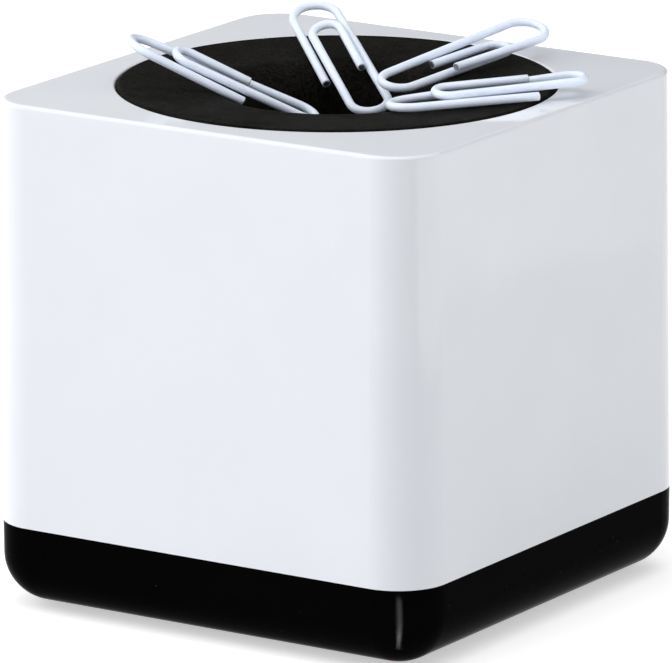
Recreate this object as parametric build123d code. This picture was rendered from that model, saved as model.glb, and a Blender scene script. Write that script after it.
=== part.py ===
from build123d import *
import math
import os

# Magnetic paper clip holder, in millimetres.
# +Z is up, the feet stand on z = 0 and the axis of the dish is the Z axis.

# Housing: white shell over a black base, flush at the seam and leaning in away from it
HOUSING_WIDTH = 65.0
SHELL_HEIGHT = 54.5
TOP_INSET = 0.5
SHELL_WALL = 2.0
TOP_WALL = 3.2
CORNER_RADIUS = 6.7
TOP_EDGE_RADIUS = 0.5
OPENING_EDGE_RADIUS = 0.25
BASE_HEIGHT = 10.6
BASE_INSET = 0.1
BASE_EDGE_LAND = 0.2
BASE_FLOOR = 2.6
FLOOR_EDGE_RADIUS = 2.0

# Spigot of the base inside the shell, held by a snap bead on each side
SPIGOT_HEIGHT = 5.0
SPIGOT_WALL = 1.6
SPIGOT_CLEARANCE = 0.15
SPIGOT_LEAD = 0.5
BEAD_RADIUS = 0.8
BEAD_LENGTH = 20.0
BEAD_PROUD = 0.5
BEAD_CLEARANCE = 0.1

# Rubber feet in recesses of the base
FOOT_RADIUS = 4.5
FOOT_PROUD = 0.5
FOOT_RECESS = 1.0
FOOT_INSET = 13.0
FOOT_CLEARANCE = 0.1
FOOT_EDGE_RADIUS = 0.3

# Dish insert: flange, sloped ring, rolled lip and throat
FLANGE_MARGIN = 4.7
FLANGE_THICKNESS = 1.6
FLANGE_PROUD = 0.15
FLANGE_EDGE_RADIUS = 0.45
FLANGE_CLEARANCE = 0.15
RING_WIDTH = 11.1
LIP_DROP = 0.4
ROLL_RADIUS = 5.0
THROAT_DEPTH = 13.0
INSERT_WALL = 1.6
FLANGE_OVERHANG = 2.8
SKIRT_CLEARANCE = 0.2
THROAT_EDGE_RADIUS = 0.6

# Ring magnet in the pocket under the ring, closed by a pressed-in retainer
MAGNET_HEIGHT = 7.0
MAGNET_CLEARANCE = 0.2
MAGNET_CHAMFER = 0.4
RETAINER_THICKNESS = 1.6
RETAINER_CLEARANCE = 0.05
SKIRT_OVERHANG = 0.4

# Paper clip: coated wire, sizes of the centre line
COAT_DIAMETER = 1.1
WIRE_DIAMETER = 0.8
CLIP_LENGTH = 25.2
OUTER_LOOP_WIDTH = 5.9
LOWER_LOOP_WIDTH = 4.9
INNER_LOOP_WIDTH = 3.7
INNER_LOOP_END = 19.3
BEND_FILL = 0.97

# How far the clip is sprung out of its plane: its outer leg and lower loop
# to one side, its inner loop to the other
OUTER_LEG_RISE = 1.05
LOWER_LOOP_RISE = 0.2
INNER_LEG_DROP = 0.5
INNER_LOOP_DROP = 1.1
INNER_END_DROP = 0.5

# Gap left between a resting clip and the dish
REST_GAP = 0.05

# Clip poses: middle x and y as shares of the flange radius, then heading,
# tilt up towards the outer loop and roll in degrees, and where the clip's
# two legs end as a share of its length
CLIPS = {
    "clip_left": (-0.409, -0.312, 211.8, 23.3, 179.7, 0.365),
    "clip_back": (-0.256, 0.415, 142.5, 20.3, 173.1, 0.355),
    "clip_right": (0.304, 0.598, 72.2, 10.1, 12.2, 0.34),
    "clip_front": (0.779, 0.047, 227.8, -5.0, 184.3, 0.27),
}

# Levels and sizes that follow from the ones above
SEAM_Z = FOOT_PROUD + BASE_HEIGHT
TOP_Z = SEAM_Z + SHELL_HEIGHT
SHELL_DRAFT = math.degrees(math.atan(TOP_INSET / SHELL_HEIGHT))
BASE_DRAFT = math.degrees(math.atan(BASE_INSET / BASE_HEIGHT))
BASE_EDGE_RADIUS = CORNER_RADIUS - BASE_INSET - BASE_EDGE_LAND
CAVITY_WIDTH = HOUSING_WIDTH - 2 * SHELL_WALL
CAVITY_RADIUS = CORNER_RADIUS - SHELL_WALL
SPIGOT_WIDTH = CAVITY_WIDTH - 2 * SPIGOT_CLEARANCE
SPIGOT_RADIUS = CAVITY_RADIUS - SPIGOT_CLEARANCE
TRAY_WIDTH = SPIGOT_WIDTH - 2 * SPIGOT_WALL
TRAY_RADIUS = SPIGOT_RADIUS - SPIGOT_WALL
FLANGE_RADIUS = HOUSING_WIDTH / 2 - FLANGE_MARGIN
LIP_RADIUS = FLANGE_RADIUS - RING_WIDTH
SKIRT_RADIUS = FLANGE_RADIUS - FLANGE_OVERHANG
SEAT_DEPTH = FLANGE_THICKNESS - FLANGE_PROUD
RING_SLOPE = math.atan2(FLANGE_PROUD + LIP_DROP, RING_WIDTH)
ROLL_CENTRE_RADIUS = LIP_RADIUS + ROLL_RADIUS * math.sin(RING_SLOPE)
ROLL_CENTRE_DROP = LIP_DROP + ROLL_RADIUS * math.cos(RING_SLOPE)
THROAT_RADIUS = ROLL_CENTRE_RADIUS - ROLL_RADIUS
TUBE_RADIUS = THROAT_RADIUS + INSERT_WALL
POCKET_RADIUS = SKIRT_RADIUS - INSERT_WALL
POCKET_ROLL = ROLL_RADIUS - INSERT_WALL
POCKET_DROP = ROLL_CENTRE_DROP - POCKET_ROLL
MAGNET_DROP = POCKET_DROP + MAGNET_HEIGHT
RETAINER_DROP = MAGNET_DROP + RETAINER_THICKNESS
SKIRT_DROP = RETAINER_DROP + SKIRT_OVERHANG
COAT_RADIUS = COAT_DIAMETER / 2
WIRE_RADIUS = WIRE_DIAMETER / 2


def square(width, radius, z):
    """Rounded square outline at height z."""
    return Plane.XY.offset(z) * RectangleRounded(width, width, radius)


def snap_beads(radius):
    """Bars along the four sides of the spigot, partly sunk in its face."""
    sink = SPIGOT_WIDTH / 2 + BEAD_PROUD - BEAD_RADIUS
    bar = Rot(90, 0, 0) * Cylinder(radius, BEAD_LENGTH + 2 * (radius - BEAD_RADIUS))
    bar = Pos(sink, 0, SEAM_Z + SPIGOT_HEIGHT / 2) * bar
    return [Rot(0, 0, turn) * bar for turn in (0, 90, 180, 270)]


def outer_shell():
    """White shell: drafted walls, flat top, stepped round opening."""
    body = extrude(square(HOUSING_WIDTH, CORNER_RADIUS, SEAM_Z), SHELL_HEIGHT, taper=SHELL_DRAFT)
    body = fillet(body.faces().sort_by(Axis.Z)[-1].edges(), TOP_EDGE_RADIUS)
    cavity = square(CAVITY_WIDTH, CAVITY_RADIUS, SEAM_Z)
    body -= extrude(cavity, SHELL_HEIGHT - TOP_WALL, taper=SHELL_DRAFT)
    body -= snap_beads(BEAD_RADIUS + BEAD_CLEARANCE)
    through = Cylinder(SKIRT_RADIUS + SKIRT_CLEARANCE, 2 * TOP_WALL)
    body -= Pos(0, 0, TOP_Z) * through
    seat = Cylinder(FLANGE_RADIUS + FLANGE_CLEARANCE, 2 * SEAT_DEPTH)
    body -= Pos(0, 0, TOP_Z) * seat
    rim = body.faces().sort_by(Axis.Z)[-1].inner_wires()[0]
    return fillet(rim.edges(), OPENING_EDGE_RADIUS)


def base_tray():
    """Black base: rounded bottom edge, hollow tray and spigot with snap beads."""
    seam = Plane((0, 0, SEAM_Z), z_dir=(0, 0, -1))
    outline = seam * RectangleRounded(HOUSING_WIDTH, HOUSING_WIDTH, CORNER_RADIUS)
    body = extrude(outline, BASE_HEIGHT, taper=BASE_DRAFT)
    body = fillet(body.faces().sort_by(Axis.Z)[0].edges(), BASE_EDGE_RADIUS)
    spigot = extrude(square(SPIGOT_WIDTH, SPIGOT_RADIUS, SEAM_Z), SPIGOT_HEIGHT, taper=SHELL_DRAFT)
    spigot = chamfer(spigot.faces().sort_by(Axis.Z)[-1].edges(), SPIGOT_LEAD)
    body += [spigot] + snap_beads(BEAD_RADIUS)
    floor_z = FOOT_PROUD + BASE_FLOOR
    hollow = extrude(square(TRAY_WIDTH, TRAY_RADIUS, floor_z), BASE_HEIGHT + SPIGOT_HEIGHT)
    hollow = fillet(hollow.faces().sort_by(Axis.Z)[0].edges(), FLOOR_EDGE_RADIUS)
    body -= hollow
    recess = Cylinder(FOOT_RADIUS + FOOT_CLEARANCE, 2 * FOOT_RECESS)
    for x, y in foot_places():
        body -= Pos(x, y, FOOT_PROUD) * recess
    return body


def foot_places():
    """Centres of the four feet."""
    half = HOUSING_WIDTH / 2 - FOOT_INSET
    return [(-half, -half), (half, -half), (half, half), (-half, half)]


def foot(x, y):
    """Rubber foot, standing proud of the underside."""
    height = FOOT_PROUD + FOOT_RECESS
    disc = Cylinder(FOOT_RADIUS, height, align=(Align.CENTER, Align.CENTER, Align.MIN))
    disc = fillet(disc.edges().sort_by(Axis.Z)[0], FOOT_EDGE_RADIUS)
    return Pos(x, y, 0) * disc


def roll_point(radius, degrees):
    """Point on a circle round the centre of the roll, in the plane of the profile."""
    turn = math.radians(degrees)
    x = ROLL_CENTRE_RADIUS + radius * math.cos(turn)
    return (x, TOP_Z - ROLL_CENTRE_DROP + radius * math.sin(turn))


def funnel_insert():
    """Black dish: flange, sloped ring, rolled lip, throat tube and outer skirt."""
    lip = 90 + math.degrees(RING_SLOPE)
    middle = (lip + 180) / 2
    flange_top = TOP_Z + FLANGE_PROUD
    flange_under = TOP_Z - SEAT_DEPTH
    tube_end = TOP_Z - THROAT_DEPTH
    skirt_end = TOP_Z - SKIRT_DROP
    pocket_top = TOP_Z - POCKET_DROP
    outline = [
        Line((FLANGE_RADIUS, flange_top), roll_point(ROLL_RADIUS, lip)),
        ThreePointArc(
            roll_point(ROLL_RADIUS, lip), roll_point(ROLL_RADIUS, middle), roll_point(ROLL_RADIUS, 180)
        ),
        Polyline(
            roll_point(ROLL_RADIUS, 180),
            (THROAT_RADIUS, tube_end),
            (TUBE_RADIUS, tube_end),
            roll_point(POCKET_ROLL, 180),
        ),
        ThreePointArc(
            roll_point(POCKET_ROLL, 180), roll_point(POCKET_ROLL, 135), roll_point(POCKET_ROLL, 90)
        ),
        Polyline(
            roll_point(POCKET_ROLL, 90),
            (POCKET_RADIUS, pocket_top),
            (POCKET_RADIUS, skirt_end),
            (SKIRT_RADIUS, skirt_end),
            (SKIRT_RADIUS, flange_under),
            (FLANGE_RADIUS, flange_under),
            (FLANGE_RADIUS, flange_top),
        ),
    ]
    body = revolve(Plane.XZ * make_face(outline), Axis.Z)
    rings = body.edges().filter_by(GeomType.CIRCLE)
    rim = [ring for ring in rings if ring.center().Z > TOP_Z]
    body = fillet(rim, FLANGE_EDGE_RADIUS)
    tube_rings = body.edges().filter_by(GeomType.CIRCLE).sort_by(Axis.Z)[:2]
    return fillet(tube_rings, THROAT_EDGE_RADIUS)


def ring(outer, inner, height, top_drop):
    """Flat ring round the Z axis with its top face below the top of the shell."""
    low = (Align.CENTER, Align.CENTER, Align.MAX)
    body = Cylinder(outer, height, align=low) - Cylinder(inner, height, align=low)
    return Pos(0, 0, TOP_Z - top_drop) * body


def ring_magnet():
    """Ferrite ring that sits under the ring of the dish."""
    outer = POCKET_RADIUS - MAGNET_CLEARANCE
    inner = ROLL_CENTRE_RADIUS + MAGNET_CLEARANCE
    body = ring(outer, inner, MAGNET_HEIGHT, POCKET_DROP)
    return chamfer(body.edges().filter_by(GeomType.CIRCLE), MAGNET_CHAMFER)


def magnet_retainer():
    """Ring pressed into the pocket under the magnet."""
    outer = POCKET_RADIUS - RETAINER_CLEARANCE
    inner = TUBE_RADIUS + RETAINER_CLEARANCE
    return ring(outer, inner, RETAINER_THICKNESS, MAGNET_DROP)


def clip_corners(leg_share):
    """Corners of a clip's centre line with their bend radii, from the outer free end on."""
    leg_end = leg_share * CLIP_LENGTH
    inner_leg = OUTER_LOOP_WIDTH - LOWER_LOOP_WIDTH
    last_leg = inner_leg + INNER_LOOP_WIDTH
    points = [
        (leg_end, 0, OUTER_LEG_RISE),
        (CLIP_LENGTH, 0, 0),
        (CLIP_LENGTH, OUTER_LOOP_WIDTH, 0),
        (0, OUTER_LOOP_WIDTH, 0),
        (0, inner_leg, LOWER_LOOP_RISE),
        (INNER_LOOP_END, inner_leg, -INNER_LEG_DROP),
        (INNER_LOOP_END, last_leg, -INNER_LOOP_DROP),
        (leg_end, last_leg, -INNER_END_DROP),
    ]
    middle = Vector(CLIP_LENGTH / 2, OUTER_LOOP_WIDTH / 2, 0)
    corners = [Vector(*point) - middle for point in points]
    radii = []
    for width in (OUTER_LOOP_WIDTH, LOWER_LOOP_WIDTH, INNER_LOOP_WIDTH):
        radii += 2 * [BEND_FILL * width / 2]
    return corners, radii


def rounded_line(corners, radii):
    """Straight lines between the corners, joined by tangent arcs."""
    edges = []
    start = corners[0]
    for before, corner, after, radius in zip(corners, corners[1:], corners[2:], radii):
        back = (before - corner).normalized()
        ahead = (after - corner).normalized()
        half = math.radians(back.get_angle(ahead)) / 2
        inward = (back + ahead).normalized()
        bend_start = corner + back * (radius / math.tan(half))
        bend_end = corner + ahead * (radius / math.tan(half))
        bend_middle = corner + inward * (radius / math.sin(half) - radius)
        edges.append(Line(start, bend_start))
        edges.append(ThreePointArc(bend_start, bend_middle, bend_end))
        start = bend_end
    edges.append(Line(start, corners[-1]))
    return Wire(edges)


def height_over_dish(radius, z):
    """Distance of a point from the top of the dish, or from the plane round it."""
    along = (radius - LIP_RADIUS) * math.cos(RING_SLOPE) + (z + LIP_DROP) * math.sin(RING_SLOPE)
    if radius > FLANGE_RADIUS:
        return z - FLANGE_PROUD
    if along > 0:
        return (z + LIP_DROP) * math.cos(RING_SLOPE) - (radius - LIP_RADIUS) * math.sin(RING_SLOPE)
    if z > -ROLL_CENTRE_DROP:
        return math.hypot(radius - ROLL_CENTRE_RADIUS, z + ROLL_CENTRE_DROP) - ROLL_RADIUS
    return THROAT_RADIUS - radius


def rest_height(line):
    """Height at which a clip's centre line comes to rest on the dish."""
    samples = [line @ (step / 400) for step in range(401)]
    height = CLIP_LENGTH
    for _ in range(60):
        gaps = [height_over_dish(math.hypot(p.X, p.Y), p.Z + height) for p in samples]
        height -= min(gaps) - COAT_RADIUS - REST_GAP
    return height


def clip_line(x_share, y_share, heading, tilt, roll, leg_share):
    """Centre line of one clip, turned into its pose and resting on the dish."""
    place = Pos(x_share * FLANGE_RADIUS, y_share * FLANGE_RADIUS, 0)
    turn = Rot(0, 0, heading) * Rot(0, -tilt, 0) * Rot(roll, 0, 0)
    line = place * turn * rounded_line(*clip_corners(leg_share))
    return Pos(0, 0, TOP_Z + rest_height(line)) * line


def clip_coat(line):
    """Vinyl coat: a tube along the centre line."""
    section = Plane(line @ 0, z_dir=line % 0) * (Circle(COAT_RADIUS) - Circle(WIRE_RADIUS))
    return sweep(section, path=line)


def clip_wire(line):
    """Steel wire inside the coat."""
    section = Plane(line @ 0, z_dir=line % 0) * Circle(WIRE_RADIUS)
    return sweep(section, path=line)


def build():
    """All pieces by node name."""
    pieces = {
        "outer_shell": outer_shell(),
        "base_tray": base_tray(),
        "funnel_insert": funnel_insert(),
        "ring_magnet": ring_magnet(),
        "magnet_retainer": magnet_retainer(),
    }
    for number, place in enumerate(foot_places(), start=1):
        pieces[f"foot_{number}"] = foot(*place)
    for name, pose in CLIPS.items():
        line = clip_line(*pose)
        pieces[f"{name}_coat"] = clip_coat(line)
        pieces[f"{name}_wire"] = clip_wire(line)
    return pieces


os.makedirs("parts", exist_ok=True)
for node, piece in build().items():
    export_step(piece, f"parts/{node}.step")
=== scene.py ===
"""Looks of the magnetic paper clip holder: its finishes, its coated wire clips, the studio and the camera."""

import logging
import math
from dataclasses import dataclass
from enum import Enum
from typing import Union

import bpy
from mathutils import Matrix, Vector


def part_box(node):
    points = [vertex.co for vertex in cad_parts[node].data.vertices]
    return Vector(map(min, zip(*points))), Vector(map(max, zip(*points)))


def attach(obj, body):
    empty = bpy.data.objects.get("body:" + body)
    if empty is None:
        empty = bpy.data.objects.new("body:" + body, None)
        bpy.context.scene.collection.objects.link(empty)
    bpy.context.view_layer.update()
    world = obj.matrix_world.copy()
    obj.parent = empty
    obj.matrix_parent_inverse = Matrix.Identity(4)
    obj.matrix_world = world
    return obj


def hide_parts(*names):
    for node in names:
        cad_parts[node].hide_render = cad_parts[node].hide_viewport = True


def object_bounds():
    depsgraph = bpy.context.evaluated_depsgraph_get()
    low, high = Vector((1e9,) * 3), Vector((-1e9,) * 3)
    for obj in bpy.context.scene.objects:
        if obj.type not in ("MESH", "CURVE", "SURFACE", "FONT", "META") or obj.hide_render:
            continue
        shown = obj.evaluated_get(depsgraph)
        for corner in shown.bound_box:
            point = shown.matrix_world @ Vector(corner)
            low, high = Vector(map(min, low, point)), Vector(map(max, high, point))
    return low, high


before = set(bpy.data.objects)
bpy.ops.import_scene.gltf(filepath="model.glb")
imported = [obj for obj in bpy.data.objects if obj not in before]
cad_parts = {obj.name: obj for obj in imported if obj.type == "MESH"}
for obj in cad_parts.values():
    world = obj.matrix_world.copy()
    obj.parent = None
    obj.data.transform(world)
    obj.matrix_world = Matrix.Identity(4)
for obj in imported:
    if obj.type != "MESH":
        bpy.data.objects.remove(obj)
CAD_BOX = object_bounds()

LOG = logging.getLogger("clip_holder")
MM = 0.001
MICRON = 0.000001
PHOTO_WIDTH = 672

Colour = tuple[float, float, float]
Point = tuple[float, float, float]
Key = Union[int, str]
Sockets = bpy.types.bpy_prop_collection


def rgba(colour: Colour) -> tuple[float, float, float, float]:
    """Returns a colour with full alpha."""
    return (*colour, 1.0)


def direction(azimuth: float, elevation: float) -> Vector:
    """Points from the holder towards a place in the studio.

    Args:
        azimuth: Degrees round the Z axis, from -Y towards +X.
        elevation: Degrees above the floor.

    Returns:
        A unit vector.
    """
    turn, rise = math.radians(azimuth), math.radians(elevation)
    flat = math.cos(rise)
    return Vector((math.sin(turn) * flat, -math.cos(turn) * flat, math.sin(rise)))


class Wiring:
    """Adds nodes to one node tree and links their sockets."""

    def __init__(self, tree: bpy.types.NodeTree) -> None:
        """Keeps the tree that the nodes go into."""
        self.tree = tree

    def add(self, kind: str, inputs: dict[Key, object], **settings: object) -> bpy.types.Node:
        """Adds a node.

        Args:
            kind: The node's type.
            inputs: A value or an output socket for each input that is set.
            settings: The node's own properties.

        Returns:
            The new node.
        """
        node = self.tree.nodes.new(kind)
        for name, value in settings.items():
            setattr(node, name, value)
        for key, value in inputs.items():
            if isinstance(value, bpy.types.NodeSocket):
                self.tree.links.new(value, node.inputs[key])
            else:
                node.inputs[key].default_value = value
        return node

    def math(self, operation: str, *values: object) -> bpy.types.NodeSocket:
        """Adds a Math node.

        Args:
            operation: What it works out.
            values: Its numbers or sockets, in order.

        Returns:
            The result.
        """
        return self.add("ShaderNodeMath", dict(enumerate(values)), operation=operation).outputs[0]

    def noise(self, vector: object, scale: object, detail: float, roughness: float = 0.5) -> bpy.types.NodeSocket:
        """Adds a Noise Texture.

        Args:
            vector: Where it is read.
            scale: Its grains to the metre.
            detail: Its octaves.
            roughness: How strong the finer octaves are.

        Returns:
            The noise, from 0 to 1.
        """
        inputs = {"Vector": vector, "Scale": scale, "Detail": detail, "Roughness": roughness}
        return self.add("ShaderNodeTexNoise", inputs).outputs["Fac"]

    def ramp(self, value: object, start: float, end: float, low: float, high: float) -> bpy.types.NodeSocket:
        """Adds a smooth Map Range.

        Args:
            value: What is mapped.
            start: Where the low end begins.
            end: Where the high end begins.
            low: The result at the start.
            high: The result at the end.

        Returns:
            The mapped value.
        """
        inputs = {"Value": value, "From Min": start, "From Max": end, "To Min": low, "To Max": high}
        node = self.add("ShaderNodeMapRange", inputs, interpolation_type="SMOOTHSTEP")
        return node.outputs["Result"]

    def mix(self, share: object, first: object, second: object) -> bpy.types.NodeSocket:
        """Adds a number Mix.

        Args:
            share: How much of the second number shows.
            first: The first number.
            second: The second number.

        Returns:
            The mixed number.
        """
        inputs = {0: share, 2: first, 3: second}
        return self.add("ShaderNodeMix", inputs, data_type="FLOAT").outputs[0]

    def blend(self, share: object, first: object, second: object) -> bpy.types.NodeSocket:
        """Adds a colour Mix.

        Args:
            share: How much of the second colour shows.
            first: The first colour.
            second: The second colour.

        Returns:
            The mixed colour.
        """
        inputs = {0: share, 6: first, 7: second}
        return self.add("ShaderNodeMix", inputs, data_type="RGBA").outputs[2]


def blank_material(name: str) -> tuple[bpy.types.Material, Wiring]:
    """Makes a material with an empty node tree.

    Args:
        name: The material's name.

    Returns:
        The material and the wiring of its tree.
    """
    made = bpy.data.materials.new(name)
    made.use_nodes = True
    made.node_tree.nodes.clear()
    return made, Wiring(made.node_tree)


class ShaderEffect:
    """A shader node group that the finishes share. Each kind names its sockets and draws its own nodes."""

    NAME: str
    INPUTS: tuple[tuple[str, float], ...]
    OUTPUTS: tuple[str, ...]

    def tree(self) -> bpy.types.NodeTree:
        """Returns the group, which is built the first time."""
        return bpy.data.node_groups.get(self.NAME) or self.build()

    def build(self) -> bpy.types.NodeTree:
        """Builds the group.

        Returns:
            The group, with its named inputs and outputs.
        """
        tree = bpy.data.node_groups.new(self.NAME, "ShaderNodeTree")
        tree.interface.new_socket("Vector", in_out="INPUT", socket_type="NodeSocketVector")
        for name, value in self.INPUTS:
            socket = tree.interface.new_socket(name, in_out="INPUT", socket_type="NodeSocketFloat")
            socket.default_value = value
        for name in self.OUTPUTS:
            tree.interface.new_socket(name, in_out="OUTPUT", socket_type="NodeSocketFloat")
        wiring = Wiring(tree)
        given = wiring.add("NodeGroupInput", {}).outputs
        wiring.add("NodeGroupOutput", self.draw(wiring, given))
        return tree

    def draw(self, wiring: Wiring, given: Sockets) -> dict[Key, object]:
        """Draws the effect's nodes.

        Args:
            wiring: The group's wiring.
            given: The group's inputs.

        Returns:
            The socket for each output.
        """
        raise NotImplementedError


class SkinEffect(ShaderEffect):
    """The skin that a mould or a die leaves: slow ripples, fine grain and soft patches."""

    NAME = "moulded_skin"
    INPUTS = (("Ripple Size", 4 * MM), ("Grain Size", 0.3 * MM), ("Grain Share", 0.5))
    OUTPUTS = ("Height", "Mottle")
    RIPPLE_DETAIL = 1.5
    GRAIN_DETAIL = 3.0
    GRAIN_ROUGHNESS = 0.6
    MOTTLE_DETAIL = 3.0
    MOTTLE_SHARE = 0.3

    def draw(self, wiring: Wiring, given: Sockets) -> dict[Key, object]:
        """Draws ripples and grain as a height, and patches that are larger than the ripples.

        Args:
            wiring: The group's wiring.
            given: The group's inputs.

        Returns:
            The socket for each output.
        """
        ripple_scale = wiring.math("DIVIDE", 1.0, given["Ripple Size"])
        grain_scale = wiring.math("DIVIDE", 1.0, given["Grain Size"])
        mottle_scale = wiring.math("MULTIPLY", ripple_scale, self.MOTTLE_SHARE)
        ripple = wiring.noise(given["Vector"], ripple_scale, self.RIPPLE_DETAIL)
        grain = wiring.noise(given["Vector"], grain_scale, self.GRAIN_DETAIL, self.GRAIN_ROUGHNESS)
        mottle = wiring.noise(given["Vector"], mottle_scale, self.MOTTLE_DETAIL)
        return {"Height": wiring.mix(given["Grain Share"], ripple, grain), "Mottle": mottle}


class HandlingEffect(ShaderEffect):
    """What use leaves on a surface: faint smudges and specks of dust."""

    NAME = "handling"
    INPUTS = (("Smudge Size", 9 * MM), ("Speck Size", 1.2 * MM), ("Speck Share", 0.1))
    OUTPUTS = ("Smudge", "Specks")
    SMUDGE_DETAIL = 4.0
    SMUDGE_ROUGHNESS = 0.55
    SMUDGE_EDGE = (0.42, 0.72)
    SPECK_EDGE = (0.05, 0.11)

    def draw(self, wiring: Wiring, given: Sockets) -> dict[Key, object]:
        """Draws the smudges, and a speck in some of the cells that the surface is divided into.

        Args:
            wiring: The group's wiring.
            given: The group's inputs.

        Returns:
            The socket for each output.
        """
        smudge_scale = wiring.math("DIVIDE", 1.0, given["Smudge Size"])
        cloud = wiring.noise(given["Vector"], smudge_scale, self.SMUDGE_DETAIL, self.SMUDGE_ROUGHNESS)
        smudge = wiring.ramp(cloud, *self.SMUDGE_EDGE, 0.0, 1.0)
        speck_scale = wiring.math("DIVIDE", 1.0, given["Speck Size"])
        cells = wiring.add("ShaderNodeTexVoronoi", {"Vector": given["Vector"], "Scale": speck_scale})
        spot = wiring.ramp(cells.outputs["Distance"], *self.SPECK_EDGE, 1.0, 0.0)
        chance = wiring.add("ShaderNodeSeparateColor", {0: cells.outputs["Color"]}).outputs[0]
        chosen = wiring.math("LESS_THAN", chance, given["Speck Share"])
        return {"Smudge": smudge, "Specks": wiring.math("MULTIPLY", spot, chosen)}


class Polish(Enum):
    """How rough a finished surface is, where it is clean and where it is smudged."""

    MIRROR = (0.07, 0.13)
    GLOSS = (0.13, 0.22)
    SILK = (0.30, 0.40)
    SATIN = (0.46, 0.58)
    MATT = (0.68, 0.82)


@dataclass(frozen=True)
class Finish:
    """A finish with the detail that its surface shows close up.

    Its colour drifts towards a second one in soft patches or along its grain, its skin has
    ripples and grain, and handling leaves smudges and specks on it.
    """

    name: str
    colour: Colour
    drift: Colour
    polish: Polish
    relief: float
    ripple_size: float = 4 * MM
    grain_size: float = 0.3 * MM
    grain_share: float = 0.5
    grain_tint: float = 0.0
    speck_share: float = 0.06
    speck_colour: Colour = (0.55, 0.54, 0.52)
    speck_strength: float = 0.25
    metallic: float = 0.0
    ior: float = 1.5
    specular: float = 0.5
    seep: float = 0.0
    seep_depth: float = 0.5 * MM

    PATCH_EDGE = (0.35, 0.65)
    SEEP_SPREAD = (1.0, 1.0, 1.0)

    def material(self) -> bpy.types.Material:
        """Returns the material, which is built the first time."""
        return bpy.data.materials.get(self.name) or self.build()

    def build(self) -> bpy.types.Material:
        """Builds the material.

        Returns:
            The node material.
        """
        made, wiring = blank_material(self.name)
        made.diffuse_color = rgba(self.colour)
        place = wiring.add("ShaderNodeTexCoord", {}).outputs["Object"]
        inputs = {
            "Vector": place,
            "Ripple Size": self.ripple_size,
            "Grain Size": self.grain_size,
            "Grain Share": self.grain_share,
        }
        skin = wiring.add("ShaderNodeGroup", inputs, node_tree=SkinEffect().tree())
        inputs = {"Vector": place, "Speck Share": self.speck_share}
        handling = wiring.add("ShaderNodeGroup", inputs, node_tree=HandlingEffect().tree())
        tint = wiring.mix(self.grain_tint, skin.outputs["Mottle"], skin.outputs["Height"])
        patches = wiring.ramp(tint, *self.PATCH_EDGE, 0.0, 1.0)
        colour = wiring.blend(patches, rgba(self.colour), rgba(self.drift))
        dust = wiring.math("MULTIPLY", handling.outputs["Specks"], self.speck_strength)
        colour = wiring.blend(dust, colour, rgba(self.speck_colour))
        clean, smudged = self.polish.value
        roughness = wiring.ramp(handling.outputs["Smudge"], 0.0, 1.0, clean, smudged)
        bump = wiring.add("ShaderNodeBump", {"Height": skin.outputs["Height"], "Distance": self.relief})
        inputs = {
            "Base Color": colour,
            "Roughness": roughness,
            "Normal": bump.outputs["Normal"],
            "Metallic": self.metallic,
            "IOR": self.ior,
            "Specular IOR Level": self.specular,
            "Subsurface Weight": self.seep,
            "Subsurface Radius": self.SEEP_SPREAD,
            "Subsurface Scale": self.seep_depth,
        }
        shader = wiring.add("ShaderNodeBsdfPrincipled", inputs)
        wiring.add("ShaderNodeOutputMaterial", {"Surface": shader.outputs[0]})
        return made


SHELL_WHITE = Finish(
    name="shell_gloss_white",
    colour=(0.80, 0.825, 0.875),
    drift=(0.785, 0.81, 0.865),
    polish=Polish.MIRROR,
    relief=9 * MICRON,
    ripple_size=5 * MM,
    grain_size=0.6 * MM,
    grain_share=0.06,
    speck_share=0.02,
    ior=1.55,
)
BASE_BLACK = Finish(
    name="base_gloss_black",
    colour=(0.0011, 0.0011, 0.0012),
    drift=(0.0016, 0.0016, 0.0018),
    polish=Polish.MIRROR,
    relief=8 * MICRON,
    ripple_size=4 * MM,
    grain_size=0.5 * MM,
    grain_share=0.08,
    speck_share=0.05,
    speck_strength=0.05,
    specular=0.004,
)
DISH_BLACK = Finish(
    name="dish_satin_black",
    colour=(0.0034, 0.0032, 0.0026),
    drift=(0.0130, 0.0124, 0.0104),
    polish=Polish.SATIN,
    relief=90 * MICRON,
    ripple_size=1.5 * MM,
    grain_size=0.42 * MM,
    grain_share=0.85,
    grain_tint=0.8,
    speck_share=0.05,
    speck_strength=0.12,
    specular=0.007,
)
RETAINER_BLACK = Finish(
    name="retainer_matt_black",
    colour=(0.010, 0.010, 0.010),
    drift=(0.014, 0.014, 0.014),
    polish=Polish.MATT,
    relief=40 * MICRON,
    grain_size=0.35 * MM,
    grain_share=0.7,
)
FERRITE_GREY = Finish(
    name="ferrite_ceramic",
    colour=(0.040, 0.038, 0.037),
    drift=(0.062, 0.057, 0.054),
    polish=Polish.SATIN,
    relief=60 * MICRON,
    ripple_size=1.2 * MM,
    grain_size=0.16 * MM,
    grain_share=0.8,
    speck_share=0.2,
    speck_colour=(0.16, 0.15, 0.14),
)
FOOT_RUBBER = Finish(
    name="foot_rubber",
    colour=(0.016, 0.016, 0.017),
    drift=(0.026, 0.026, 0.027),
    polish=Polish.MATT,
    relief=45 * MICRON,
    ripple_size=1.0 * MM,
    grain_size=0.2 * MM,
    grain_share=0.7,
    speck_share=0.2,
)
CLIP_VINYL = Finish(
    name="clip_white_vinyl",
    colour=(0.735, 0.797, 0.915),
    drift=(0.707, 0.769, 0.890),
    polish=Polish.SILK,
    relief=14 * MICRON,
    ripple_size=0.9 * MM,
    grain_size=0.14 * MM,
    grain_share=0.35,
    speck_share=0.03,
    seep=0.3,
    seep_depth=0.6 * MM,
)
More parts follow.
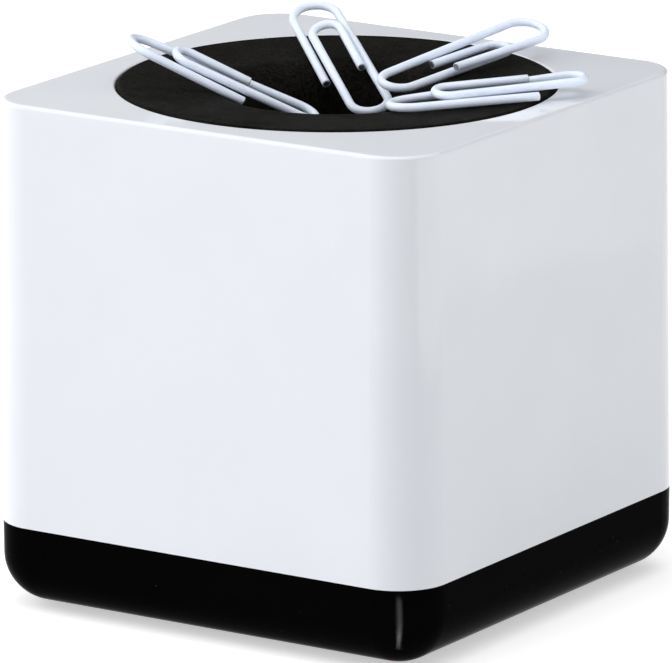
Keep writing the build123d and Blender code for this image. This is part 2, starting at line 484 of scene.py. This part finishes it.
CLIP_STEEL = Finish(
    name="clip_cut_steel",
    colour=(0.36, 0.36, 0.38),
    drift=(0.24, 0.24, 0.26),
    polish=Polish.SILK,
    relief=25 * MICRON,
    ripple_size=0.35 * MM,
    grain_size=0.06 * MM,
    grain_share=0.6,
    speck_share=0.0,
    metallic=1.0,
)


def dress(node: str, finish: Finish) -> None:
    """Gives a solid of the frame its finish.

    Args:
        node: The solid's name.
        finish: Its finish.
    """
    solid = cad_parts[node]
    solid.data.materials.clear()
    solid.data.materials.append(finish.material())
    LOG.info("%s: %s", node, finish.name)


@dataclass
class Housing:
    """White shell on its black base and rubber feet."""

    feet: int = 4

    def dress(self) -> None:
        """Gives the shell, the base and the feet their finishes."""
        dress("outer_shell", SHELL_WHITE)
        dress("base_tray", BASE_BLACK)
        for number in range(1, self.feet + 1):
            dress(f"foot_{number}", FOOT_RUBBER)


@dataclass
class DishInsert:
    """Black dish with the ring magnet in its pocket."""

    dish: str = "funnel_insert"
    magnet: str = "ring_magnet"
    retainer: str = "magnet_retainer"

    def dress(self) -> None:
        """Gives the dish, the magnet and its retainer their finishes."""
        dress(self.dish, DISH_BLACK)
        dress(self.magnet, FERRITE_GREY)
        dress(self.retainer, RETAINER_BLACK)


@dataclass(frozen=True)
class Pose:
    """How a clip lies: its heading, tilt and roll in degrees, and where its legs end as a share of its length."""

    heading: float
    tilt: float
    roll: float
    leg_share: float

    def matrix(self) -> Matrix:
        """Returns the turn from the clip's own axes to the holder's, with millimetres made metres."""
        head = Matrix.Rotation(math.radians(self.heading), 4, "Z")
        tilt = Matrix.Rotation(math.radians(-self.tilt), 4, "Y")
        roll = Matrix.Rotation(math.radians(self.roll), 4, "X")
        return head @ tilt @ roll @ Matrix.Scale(MM, 4)


class ClipSpot(Enum):
    """The four clips that the magnet holds on the dish."""

    LEFT = Pose(211.8, 23.3, 179.7, 0.365)
    BACK = Pose(142.5, 20.3, 173.1, 0.355)
    RIGHT = Pose(72.2, 10.1, 12.2, 0.34)
    FRONT = Pose(227.8, -5.0, 184.3, 0.27)

    @property
    def body(self) -> str:
        """Name of the clip's body."""
        return f"clip_{self.name.lower()}"

    @property
    def drawn_coat(self) -> str:
        """Name of the coat that is drawn for the clip."""
        return f"{self.body}_vinyl"


class CoatTree:
    """Geometry node tree that draws a coated wire: a round coat along a bent line, bored for the wire at its cuts."""

    NAME = "coated_wire"
    BEND = "bend"
    LENGTHS = ("Coat Diameter", "Wire Diameter", "Set Back", "Bore Depth")
    COUNTS = ("Bend Steps", "Sides")
    SIDE_CORNERS = 4

    def tree(self) -> bpy.types.NodeTree:
        """Returns the tree, which is built the first time."""
        return bpy.data.node_groups.get(self.NAME) or self.build()

    def build(self) -> bpy.types.NodeTree:
        """Builds the tree.

        Returns:
            The tree, whose first input is a line of corners with their bend radii.
        """
        tree = bpy.data.node_groups.new(self.NAME, "GeometryNodeTree")
        face = tree.interface
        face.new_socket("Geometry", in_out="INPUT", socket_type="NodeSocketGeometry")
        for name in self.LENGTHS:
            face.new_socket(name, in_out="INPUT", socket_type="NodeSocketFloat")
        for name in self.COUNTS:
            face.new_socket(name, in_out="INPUT", socket_type="NodeSocketInt")
        face.new_socket("Finish", in_out="INPUT", socket_type="NodeSocketMaterial")
        face.new_socket("Geometry", in_out="OUTPUT", socket_type="NodeSocketGeometry")
        wiring = Wiring(tree)
        given = wiring.add("NodeGroupInput", {}).outputs
        line = self.bent_line(wiring, given)
        rod = self.rod(wiring, given, line)
        bored = self.bore(wiring, given, rod)
        smooth = wiring.add("GeometryNodeSetShadeSmooth", {"Geometry": bored}).outputs[0]
        real = wiring.add("GeometryNodeRealizeInstances", {"Geometry": smooth}).outputs[0]
        done = wiring.add("GeometryNodeSetMaterial", {"Geometry": real, "Material": given["Finish"]})
        wiring.add("NodeGroupOutput", {"Geometry": done.outputs[0]})
        return tree

    def bent_line(self, wiring: Wiring, given: Sockets) -> bpy.types.NodeSocket:
        """Rounds the line's corners and shortens it at its ends.

        Args:
            wiring: The tree's wiring.
            given: The tree's inputs.

        Returns:
            The coat's centre line.
        """
        corners = wiring.add("GeometryNodeMeshToCurve", {"Mesh": given["Geometry"]}).outputs["Curve"]
        bend = wiring.add("GeometryNodeInputNamedAttribute", {"Name": self.BEND}, data_type="FLOAT")
        inputs = {"Curve": corners, "Count": given["Bend Steps"], "Radius": bend.outputs["Attribute"]}
        bent = wiring.add("GeometryNodeFilletCurve", inputs, mode="POLY").outputs[0]
        length = wiring.add("GeometryNodeCurveLength", {"Curve": bent}).outputs["Length"]
        end = wiring.math("SUBTRACT", length, given["Set Back"])
        trim = wiring.add("GeometryNodeTrimCurve", {"Curve": bent}, mode="LENGTH")
        start_socket, end_socket = [s for s in trim.inputs if s.enabled and s.type == "VALUE"]
        wiring.tree.links.new(given["Set Back"], start_socket)
        wiring.tree.links.new(end, end_socket)
        return trim.outputs[0]

    def rod(
        self, wiring: Wiring, given: Sockets, line: bpy.types.NodeSocket
    ) -> bpy.types.NodeSocket:
        """Draws a closed round rod along a line.

        Args:
            wiring: The tree's wiring.
            given: The tree's inputs.
            line: The centre line.

        Returns:
            The rod's mesh.
        """
        radius = wiring.math("MULTIPLY", given["Coat Diameter"], 0.5)
        inputs = {"Resolution": given["Sides"], "Radius": radius}
        section = wiring.add("GeometryNodeCurvePrimitiveCircle", inputs).outputs["Curve"]
        inputs = {"Curve": line, "Profile Curve": section, "Fill Caps": True}
        return wiring.add("GeometryNodeCurveToMesh", inputs).outputs["Mesh"]

    def bore(
        self, wiring: Wiring, given: Sockets, rod: bpy.types.NodeSocket
    ) -> bpy.types.NodeSocket:
        """Sinks a bore for the wire into both cut ends of a rod.

        Args:
            wiring: The tree's wiring.
            given: The tree's inputs.
            rod: The rod's mesh.

        Returns:
            The bored mesh.
        """
        corners = wiring.add("GeometryNodeInputMeshFaceNeighbors", {}).outputs["Vertex Count"]
        cut = wiring.math("GREATER_THAN", corners, self.SIDE_CORNERS)
        inputs = {"Mesh": rod, "Selection": cut, "Offset Scale": 0.0}
        inset = wiring.add("GeometryNodeExtrudeMesh", inputs, mode="FACES")
        share = wiring.math("DIVIDE", given["Wire Diameter"], given["Coat Diameter"])
        inputs = {"Geometry": inset.outputs["Mesh"], "Selection": inset.outputs["Top"], "Scale": share}
        narrowed = wiring.add("GeometryNodeScaleElements", inputs, domain="FACE")
        depth = wiring.math("MULTIPLY", given["Bore Depth"], -1.0)
        inputs = {
            "Mesh": narrowed.outputs[0],
            "Selection": inset.outputs["Top"],
            "Offset Scale": depth,
        }
        return wiring.add("GeometryNodeExtrudeMesh", inputs, mode="FACES").outputs["Mesh"]


@dataclass
class PaperClip:
    """A coated wire clip. Sizes are millimetres of its centre line."""

    spot: ClipSpot
    length: float = 25.2
    outer_loop_width: float = 5.9
    lower_loop_width: float = 4.9
    inner_loop_width: float = 3.7
    inner_loop_end: float = 19.3
    bend_fill: float = 0.97
    outer_leg_rise: float = 1.05
    lower_loop_rise: float = 0.2
    inner_leg_drop: float = 0.5
    inner_loop_drop: float = 1.1
    inner_end_drop: float = 0.5
    coat_diameter: float = 1.1
    wire_diameter: float = 0.8
    set_back: float = 0.09
    bore_depth: float = 0.8
    cut_rounding: float = 0.05
    cut_steps: int = 3
    sharp_angle: float = 50.0
    bend_steps: int = 22
    sides: int = 28

    def corners(self) -> list[Vector]:
        """Returns the corners of the centre line from the outer free end on, round the clip's middle."""
        leg_end = self.spot.value.leg_share * self.length
        inner_leg = self.outer_loop_width - self.lower_loop_width
        last_leg = inner_leg + self.inner_loop_width
        middle = Vector((self.length / 2, self.outer_loop_width / 2, 0))
        points = (
            (leg_end, 0, self.outer_leg_rise),
            (self.length, 0, 0),
            (self.length, self.outer_loop_width, 0),
            (0, self.outer_loop_width, 0),
            (0, inner_leg, self.lower_loop_rise),
            (self.inner_loop_end, inner_leg, -self.inner_leg_drop),
            (self.inner_loop_end, last_leg, -self.inner_loop_drop),
            (leg_end, last_leg, -self.inner_end_drop),
        )
        return [Vector(point) - middle for point in points]

    def bends(self) -> list[float]:
        """Returns the bend radius at each corner in metres, 0 at the free ends."""
        widths = (self.outer_loop_width, self.lower_loop_width, self.inner_loop_width)
        radii = [self.bend_fill * width / 2 * MM for width in widths for _ in range(2)]
        return [0.0, *radii, 0.0]

    def line(self) -> bpy.types.Object:
        """Returns an object with the turned centre line's corners and their bends as an attribute."""
        matrix = self.spot.value.matrix()
        points = [matrix @ corner for corner in self.corners()]
        mesh = bpy.data.meshes.new(f"{self.spot.body}_line")
        mesh.from_pydata(points, [(i, i + 1) for i in range(len(points) - 1)], [])
        bends = mesh.attributes.new(CoatTree.BEND, "FLOAT", "POINT")
        bends.data.foreach_set("value", self.bends())
        made = bpy.data.objects.new(self.spot.drawn_coat, mesh)
        bpy.context.scene.collection.objects.link(made)
        return made

    def coat(self) -> bpy.types.Object:
        """Builds the vinyl coat, a little short of the wire at both cuts.

        Returns:
            The coat as a plain mesh.
        """
        made = self.line()
        tree = CoatTree().tree()
        modifier = made.modifiers.new("coat", "NODES")
        modifier.node_group = tree
        values = {
            "Coat Diameter": self.coat_diameter * MM,
            "Wire Diameter": self.wire_diameter * MM,
            "Set Back": self.set_back * MM,
            "Bore Depth": self.bore_depth * MM,
            "Bend Steps": self.bend_steps,
            "Sides": self.sides,
            "Finish": CLIP_VINYL.material(),
        }
        for socket in tree.interface.items_tree:
            if socket.in_out == "INPUT" and socket.name in values:
                modifier[socket.identifier] = values[socket.name]
        bevel = made.modifiers.new("cut_edges", "BEVEL")
        bevel.width = self.cut_rounding * MM
        bevel.segments = self.cut_steps
        bevel.limit_method = "ANGLE"
        bevel.angle_limit = math.radians(self.sharp_angle)
        depsgraph = bpy.context.evaluated_depsgraph_get()
        mesh = bpy.data.meshes.new_from_object(made.evaluated_get(depsgraph))
        made.modifiers.clear()
        made.data = mesh
        mesh.set_sharp_from_angle(angle=math.radians(self.sharp_angle))
        self.settle(mesh)
        return made

    def settle(self, mesh: bpy.types.Mesh) -> None:
        """Moves the coat to the place of its solid.

        Args:
            mesh: The coat, turned but not yet moved.
        """
        low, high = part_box(f"{self.spot.body}_coat")
        spread = list(zip(*(vertex.co for vertex in mesh.vertices)))
        middle = Vector([(min(side) + max(side)) / 2 for side in spread])
        mesh.transform(Matrix.Translation((low + high) / 2 - middle))

    def build(self) -> None:
        """Builds the coat, sets it in the coat solid's place and dresses the wire."""
        coat = self.coat()
        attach(coat, self.spot.body)
        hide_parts(f"{self.spot.body}_coat")
        LOG.info("%s: %d faces, %s", coat.name, len(coat.data.polygons), CLIP_VINYL.name)
        dress(f"{self.spot.body}_wire", CLIP_STEEL)


def light_only(source: bpy.types.Object, pieces: list[bpy.types.Object]) -> None:
    """Lets a lamp or a card reach some pieces alone.

    Args:
        source: The lamp or card.
        pieces: What it lights.
    """
    only = bpy.data.collections.new(f"{source.name}_only")
    for piece in pieces:
        only.objects.link(piece)
    source.light_linking.receiver_collection = only


@dataclass(frozen=True)
class Softbox:
    """A rectangular lamp that points at the holder.

    Level is its brightness, where 1 is white. Where pieces are named, it lights those alone.
    """

    name: str
    azimuth: float
    elevation: float
    distance: float
    width: float
    height: float
    level: float
    lit: tuple[str, ...] = ()

    def place(self, target: Vector) -> None:
        """Sets the lamp up.

        Args:
            target: The point it shines at.
        """
        lamp = bpy.data.lights.new(self.name, "AREA")
        lamp.shape = "RECTANGLE"
        lamp.size, lamp.size_y = self.width, self.height
        lamp.energy = self.level * math.pi * self.width * self.height
        made = bpy.data.objects.new(self.name, lamp)
        out = direction(self.azimuth, self.elevation)
        made.location = target + out * self.distance
        made.rotation_mode = "QUATERNION"
        made.rotation_quaternion = out.to_track_quat("Z", "Y")
        made.visible_camera = False
        if self.lit:
            light_only(made, [bpy.data.objects[name] for name in self.lit])
        bpy.context.scene.collection.objects.link(made)
        LOG.info("lamp %s", self.name)


SOFTBOXES = (
    Softbox("left_softbox", azimuth=-52, elevation=25, distance=1.0, width=1.1, height=1.1, level=1.50),
    Softbox("right_softbox", azimuth=125, elevation=25, distance=1.0, width=1.0, height=1.0, level=0.33),
    Softbox("front_softbox", azimuth=30, elevation=68, distance=0.9, width=0.8, height=0.8, level=1.6),
    Softbox(
        name="clip_fill",
        azimuth=40,
        elevation=6,
        distance=1.0,
        width=0.9,
        height=0.25,
        level=4.5,
        lit=tuple(spot.drawn_coat for spot in ClipSpot),
    ),
)


@dataclass(frozen=True)
class MirrorCard:
    """A small glowing card by the holder that shows only as a reflection, on top of what is behind it.

    It goes through rows of two edge points in millimetres with the level half way between them, and fades towards
    its edges to a share of that level. Where a solid is named, only that one mirrors the card.
    """

    name: str
    rows: tuple[tuple[Point, Point, float], ...]
    edge_share: float = 1.0
    mirror: str = ""

    LEVEL = "level"

    def sheet(self) -> bpy.types.Mesh:
        """Returns the card's mesh, with its level as an attribute."""
        points, levels = [], []
        for first, last, level in self.rows:
            edges = Vector(first) * MM, Vector(last) * MM
            points += [edges[0], (edges[0] + edges[1]) / 2, edges[1]]
            levels += [level * self.edge_share, level, level * self.edge_share]
        starts = [row * 3 + side for row in range(len(self.rows) - 1) for side in range(2)]
        mesh = bpy.data.meshes.new(self.name)
        mesh.from_pydata(points, [], [(i, i + 1, i + 4, i + 3) for i in starts])
        mesh.attributes.new(self.LEVEL, "FLOAT", "POINT").data.foreach_set("value", levels)
        return mesh

    def place(self) -> None:
        """Sets the card up."""
        paint, wiring = blank_material(self.name)
        level = wiring.add("ShaderNodeAttribute", {}, attribute_name=self.LEVEL).outputs["Fac"]
        glow = wiring.add("ShaderNodeEmission", {"Strength": level})
        clear = wiring.add("ShaderNodeBsdfTransparent", {})
        both = wiring.add("ShaderNodeAddShader", {0: glow.outputs[0], 1: clear.outputs[0]})
        wiring.add("ShaderNodeOutputMaterial", {"Surface": both.outputs[0]})
        mesh = self.sheet()
        mesh.materials.append(paint)
        made = bpy.data.objects.new(self.name, mesh)
        bpy.context.scene.collection.objects.link(made)
        made.visible_camera = made.visible_diffuse = made.visible_shadow = False
        if self.mirror:
            light_only(made, [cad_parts[self.mirror]])
        LOG.info("card %s", self.name)


MIRROR_CARDS = (
    MirrorCard("side_card", (((200, -65, 2), (200, -65, 42), 1.1), ((120, 197, 2), (120, 197, 42), 0.2))),
    MirrorCard(
        name="corner_strip",
        rows=(
            ((28.50, -31.06, 0.3), (29.54, -30.16, 0.3), 15.0),
            ((31.10, -36.00, 0.3), (32.90, -34.60, 0.3), 360.0),
            ((32.50, -39.40, 0.3), (35.30, -37.20, 0.3), 220.0),
            ((42.70, -60.60, 0.3), (50.50, -54.80, 0.3), 150.0),
        ),
        edge_share=0.0,
        mirror="base_tray",
    ),
)


@dataclass
class Studio:
    """Pale floor, soft lamps and the room round them."""

    floor_size: float = 40.0
    floor_colour: Colour = (0.80, 0.80, 0.80)
    floor_lift: float = 0.50
    light_colour: Colour = (1.0, 1.0, 1.0)
    tent_level: float = 0.83
    back: tuple[float, float] = (180.0, 13.0)
    back_level: float = 0.01
    back_reach: tuple[float, float] = (0.74, 0.885)
    front: tuple[float, float] = (40.0, 12.0)
    front_level: float = 0.01
    front_reach: tuple[float, float] = (0.45, 0.92)
    horizon_level: float = 1.0
    horizon: tuple[float, float] = (0.0, 0.06)

    def seen(self, wiring: Wiring) -> bpy.types.NodeSocket:
        """Returns a mask of the rays that show the background: straight ones, mirrored ones and those through glass."""
        path = wiring.add("ShaderNodeLightPath", {}).outputs
        mirrored = wiring.math("MAXIMUM", path["Is Glossy Ray"], path["Is Transmission Ray"])
        return wiring.math("MAXIMUM", path["Is Camera Ray"], mirrored)

    def floor(self) -> None:
        """Lays the floor, which shows a little paler than its lamps make it."""
        half = self.floor_size / 2
        mesh = bpy.data.meshes.new("studio_floor")
        mesh.from_pydata([(-half, -half, 0), (half, -half, 0), (half, half, 0), (-half, half, 0)], [], [(0, 1, 2, 3)])
        made = bpy.data.objects.new("studio_floor", mesh)
        bpy.context.scene.collection.objects.link(made)
        paint, wiring = blank_material("studio_floor")
        matt = wiring.add("ShaderNodeBsdfDiffuse", {"Color": rgba(self.floor_colour)})
        lift = wiring.math("MULTIPLY", self.seen(wiring), self.floor_lift)
        glow = wiring.add("ShaderNodeEmission", {"Strength": lift})
        both = wiring.add("ShaderNodeAddShader", {0: matt.outputs[0], 1: glow.outputs[0]})
        wiring.add("ShaderNodeOutputMaterial", {"Surface": both.outputs[0]})
        mesh.materials.append(paint)
        LOG.info("studio floor")

    def room(self) -> None:
        """Fills the world with a pale tent that is dim behind the holder and round the camera, over a white horizon."""
        world = bpy.data.worlds.new("studio_room")
        world.use_nodes = True
        world.node_tree.nodes.clear()
        wiring = Wiring(world.node_tree)
        way = wiring.add("ShaderNodeTexCoord", {}).outputs["Generated"]
        rise = wiring.add("ShaderNodeSeparateXYZ", {0: way}).outputs["Z"]
        level = self.tent_level
        dim_sides = (
            (self.front, self.front_reach, self.front_level),
            (self.back, self.back_reach, self.back_level),
        )
        for side, reach, side_level in dim_sides:
            inputs = {0: way, 1: direction(*side)}
            nearness = wiring.add("ShaderNodeVectorMath", inputs, operation="DOT_PRODUCT").outputs["Value"]
            level = wiring.mix(wiring.ramp(nearness, *reach, 0.0, 1.0), level, side_level)
        level = wiring.mix(wiring.ramp(rise, *self.horizon, 0.0, 1.0), self.horizon_level, level)
        light = wiring.add("ShaderNodeBackground", {"Color": rgba(self.light_colour), "Strength": level})
        wiring.add("ShaderNodeOutputWorld", {"Surface": light.outputs[0]})
        bpy.context.scene.world = world

    def build(self) -> None:
        """Sets up the floor, the room and the lamps."""
        self.floor()
        self.room()
        low, high = CAD_BOX
        for softbox in SOFTBOXES:
            softbox.place((low + high) / 2)
        for card in MIRROR_CARDS:
            card.place()
        bpy.context.scene.view_settings.view_transform = "Standard"


@dataclass
class PhotoCamera:
    """The camera where the photograph was taken from. Angles are degrees, lengths metres."""

    azimuth: float = 33.316
    elevation: float = 14.183
    roll: float = -0.243
    focal_pixels: float = 8883.6
    distance: float = 1.125702
    aim_right: float = -0.000241
    aim_height: float = 0.033278
    sensor_width: float = 36.0
    nearest: float = 0.05
    furthest: float = 50.0

    def build(self) -> None:
        """Sets the camera up and makes it the scene's own."""
        back = direction(self.azimuth, self.elevation)
        turn = math.radians(self.azimuth)
        right = Vector((math.cos(turn), math.sin(turn), 0.0))
        aim = right * self.aim_right + Vector((0.0, 0.0, self.aim_height))
        lean = math.radians(self.roll)
        up = back.cross(right)
        across = right * math.cos(lean) + up * math.sin(lean)
        upright = up * math.cos(lean) - right * math.sin(lean)
        axes = Matrix((across, upright, back)).transposed()
        lens = bpy.data.cameras.new("photo_camera")
        lens.sensor_width = self.sensor_width
        lens.lens = self.focal_pixels / PHOTO_WIDTH * self.sensor_width
        lens.clip_start, lens.clip_end = self.nearest, self.furthest
        made = bpy.data.objects.new("photo_camera", lens)
        made.matrix_world = Matrix.Translation(aim + back * self.distance) @ axes.to_4x4()
        bpy.context.scene.collection.objects.link(made)
        bpy.context.scene.camera = made
        LOG.info("camera with a %.1f mm lens", lens.lens)


def main() -> None:
    """Builds the camera, the holder's pieces and the studio in order."""
    logging.basicConfig(level=logging.INFO, format="%(name)s: %(message)s")
    PhotoCamera().build()
    Housing().dress()
    DishInsert().dress()
    for spot in ClipSpot:
        PaperClip(spot).build()
    Studio().build()


if __name__ == "__main__":
    main()
